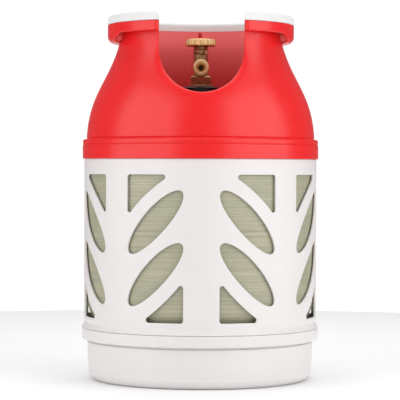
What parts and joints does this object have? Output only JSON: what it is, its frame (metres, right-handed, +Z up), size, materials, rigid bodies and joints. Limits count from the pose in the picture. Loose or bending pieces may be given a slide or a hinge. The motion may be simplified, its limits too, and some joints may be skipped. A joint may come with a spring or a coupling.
{
  "type": "composite propane tank",
  "caption": "Portable composite gas bottle: wound pressure vessel in a latticed plastic casing with a hand rim, front opening and a brass handwheel valve.",
  "frame": {"origin": "centre of the foot's bottom face, on the vessel's axis", "axes": "+Z up along the vessel's axis, valve outlet and front opening towards -Y, +X to the right seen from the front"},
  "size_m": [0.3056, 0.3056, 0.4681],
  "materials": {
    "red_plastic": "moulded, faint grain, satin",
    "white_plastic": "moulded, faint grain, satin",
    "soft_grip": "soft moulded trim",
    "glass_fibre": "resin-wetted hoop and helical glass fibre",
    "liner_plastic": "natural polyethylene",
    "aluminium": "turned",
    "black_plastic": "moulded",
    "black_rubber": "moulded seal",
    "brass": "hot-stamped and part machined",
    "spring_steel": "drawn wire"
  },
  "bodies": {
    "bottle": {"upper_casing": "red_plastic", "handle_trim": "soft_grip", "lattice_casing": "white_plastic", "base_casing": "white_plastic", "support_plate": "white_plastic", "glass_fibre_winding": "glass_fibre", "liner": "liner_plastic", "neck_boss": "aluminium", "tail_boss": "aluminium", "neck_collar": "black_plastic", "boss_o_ring": "black_rubber", "valve_body": "brass", "gland_nut": "brass", "gland_washer": "liner_plastic", "check_insert": "brass", "check_spring": "spring_steel", "relief_spring": "spring_steel", "relief_cap": "brass"},
    "handwheel": {"handwheel": "brass", "handwheel_washer": "spring_steel", "handwheel_nut": "brass", "spindle": "brass", "spindle_o_ring_upper": "black_rubber", "spindle_o_ring_lower": "black_rubber"},
    "seat_plug": {"seat_plug": "brass", "seat_disc": "black_rubber"},
    "check_poppet": {"check_poppet": "brass"},
    "relief_poppet": {"relief_poppet": "brass"}
  },
  "joints": [
    {"name": "handwheel_turn", "type": "hinge", "parent": "bottle", "child": "handwheel", "pos_m": [0, 0, 0.434], "axis": [0, 0, 1], "range_deg": [0, 720]},
    {"name": "seat_plug_rise", "type": "slide", "parent": "bottle", "child": "seat_plug", "axis": [0, 0, 1], "range_m": [0, 0.0025]},
    {"name": "check_poppet_push", "type": "slide", "parent": "bottle", "child": "check_poppet", "axis": [0, 1, 0], "range_m": [0, 0.002], "stiffness_N_per_m": 300, "springref_m": -0.003, "deforming": ["check_spring"]},
    {"name": "relief_poppet_lift", "type": "slide", "parent": "bottle", "child": "relief_poppet", "axis": [0.515, -0.8572, 0], "range_m": [0, 0.0008], "stiffness_N_per_m": 800, "springref_m": -0.002, "deforming": ["relief_spring"]}
  ],
  "couplings": [
    {"joint": "handwheel_turn", "follows": "seat_plug_rise", "rad_per_m": 5026.5}
  ]
}
